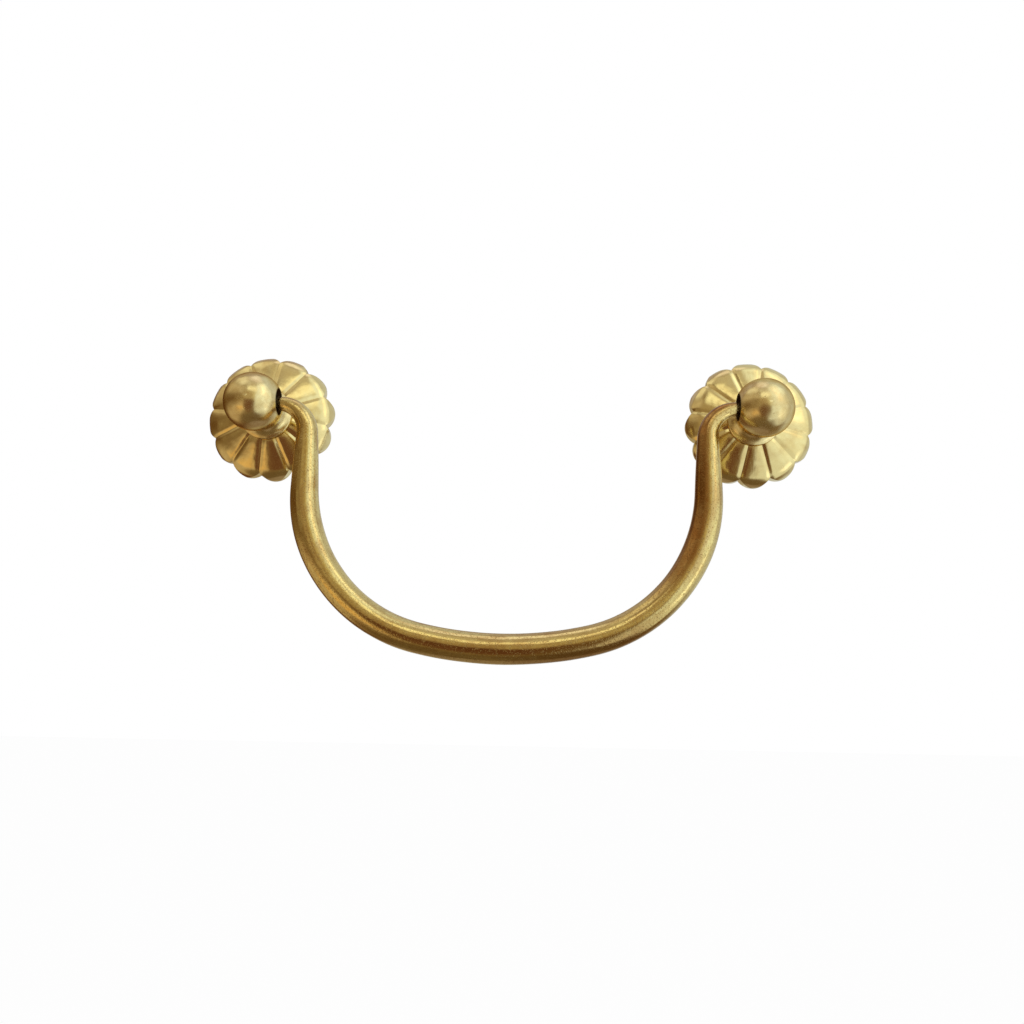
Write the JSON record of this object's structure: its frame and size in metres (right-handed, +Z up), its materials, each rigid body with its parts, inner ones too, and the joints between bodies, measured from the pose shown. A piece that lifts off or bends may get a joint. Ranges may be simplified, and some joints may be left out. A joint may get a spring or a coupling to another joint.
{
  "type": "drawer pull",
  "caption": "Brass drawer pull: a swinging bail handle hung between ball posts on petalled rosettes, fastened through the drawer front by studs and nuts.",
  "frame": {"origin": "midway between the two posts, on the drawer front's face, where the backs of the rosettes lie", "axes": "+X from the left post to the right one, +Y into the drawer front along the studs, +Z up"},
  "size_m": [0.1138, 0.0412, 0.0572],
  "materials": {
    "bail_brass": "aged satin polish with fine casting grain",
    "post_brass": "aged satin polish",
    "rosette_brass": "satin polish",
    "fastener_brass": "plain turned"
  },
  "bodies": {
    "fittings": {"left_ball_post": "post_brass", "right_ball_post": "post_brass", "left_rosette": "rosette_brass", "right_rosette": "rosette_brass", "left_washer": "fastener_brass", "right_washer": "fastener_brass", "left_nut": "fastener_brass", "right_nut": "fastener_brass"},
    "bail": {"bail": "bail_brass"}
  },
  "joints": [
    {"name": "bail_swing", "type": "hinge", "parent": "fittings", "child": "bail", "pos_m": [0, -0.014, -0.00035], "axis": [-1, 0, 0], "range_deg": [-15, 195]}
  ]
}
